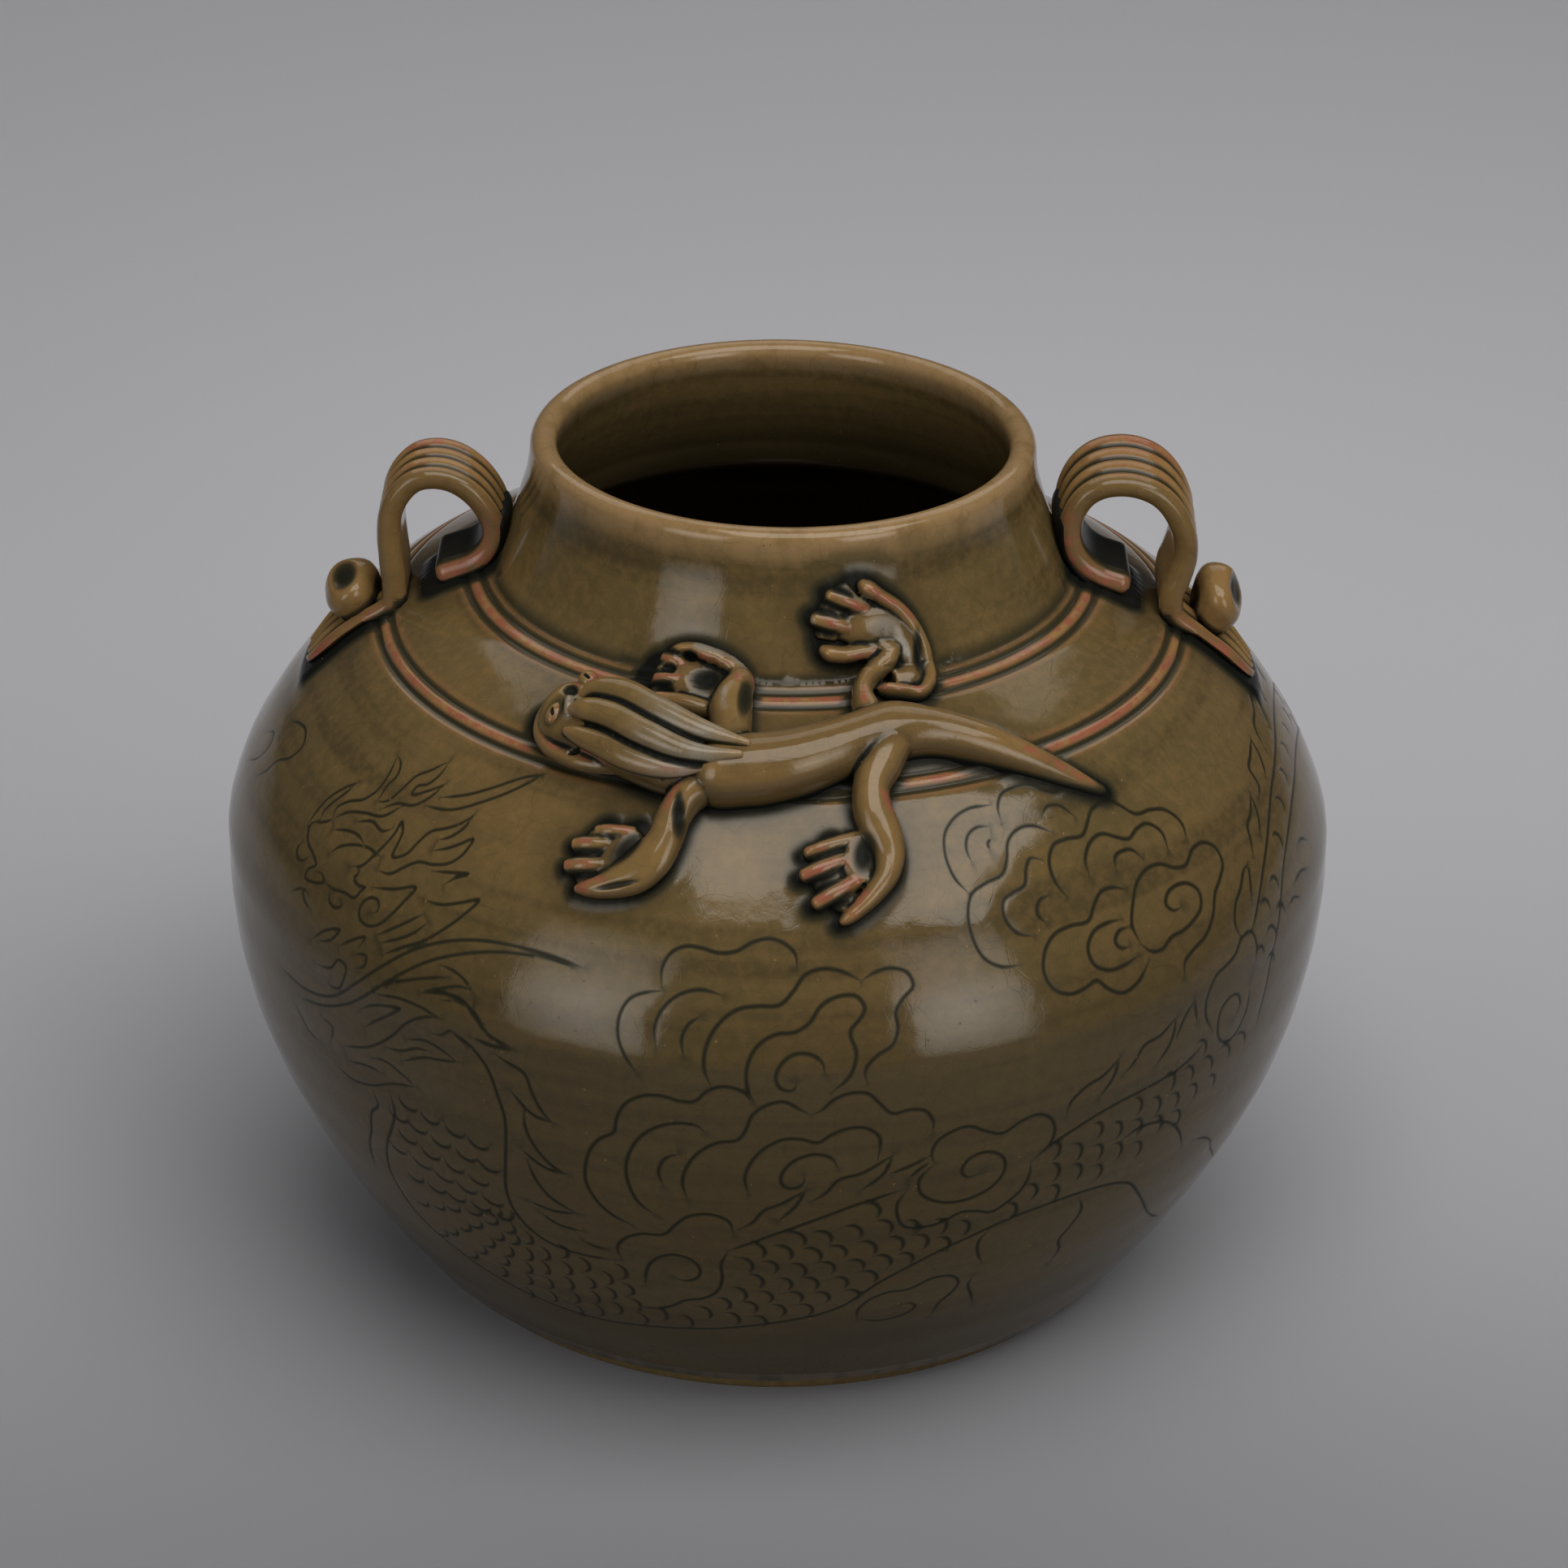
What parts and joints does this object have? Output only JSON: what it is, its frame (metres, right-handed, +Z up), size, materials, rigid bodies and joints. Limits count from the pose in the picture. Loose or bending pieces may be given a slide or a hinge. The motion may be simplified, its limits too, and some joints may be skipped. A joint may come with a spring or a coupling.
{
  "type": "celadon jar",
  "caption": "Round-shouldered jar with a short flared neck, curled strap handles and a crawling dragon in relief on the shoulder, under a glossy olive celadon glaze.",
  "frame": {"origin": "centre of the foot ring, on the surface that the jar stands on", "axes": "+Z up along the turned axis, -Y towards the front with the relief dragon, +X towards the right handle"},
  "size_m": [0.2302, 0.2302, 0.18],
  "materials": {
    "glaze": "glossy olive-brown celadon glaze with fine crackle, dark where it pools in the carving",
    "glaze_thin": "the same glaze run thin over raised clay, tan with pink-red edges"
  },
  "bodies": {
    "root": {"lower_body": "glaze", "upper_body": "glaze", "neck_collar": "glaze", "handle_left": "glaze_thin", "handle_right": "glaze_thin", "pellet_left": "glaze", "pellet_right": "glaze", "dragon_torso": "glaze", "dragon_head": "glaze", "dragon_eye_lower": "glaze_thin", "dragon_eye_upper": "glaze_thin", "dragon_mane_upper": "glaze", "dragon_mane_middle": "glaze", "dragon_mane_lower": "glaze", "dragon_foreleg_upper": "glaze_thin", "dragon_foreleg_lower": "glaze_thin", "dragon_hindleg_upper": "glaze_thin", "dragon_hindleg_lower": "glaze_thin"}
  },
  "joints": []
}
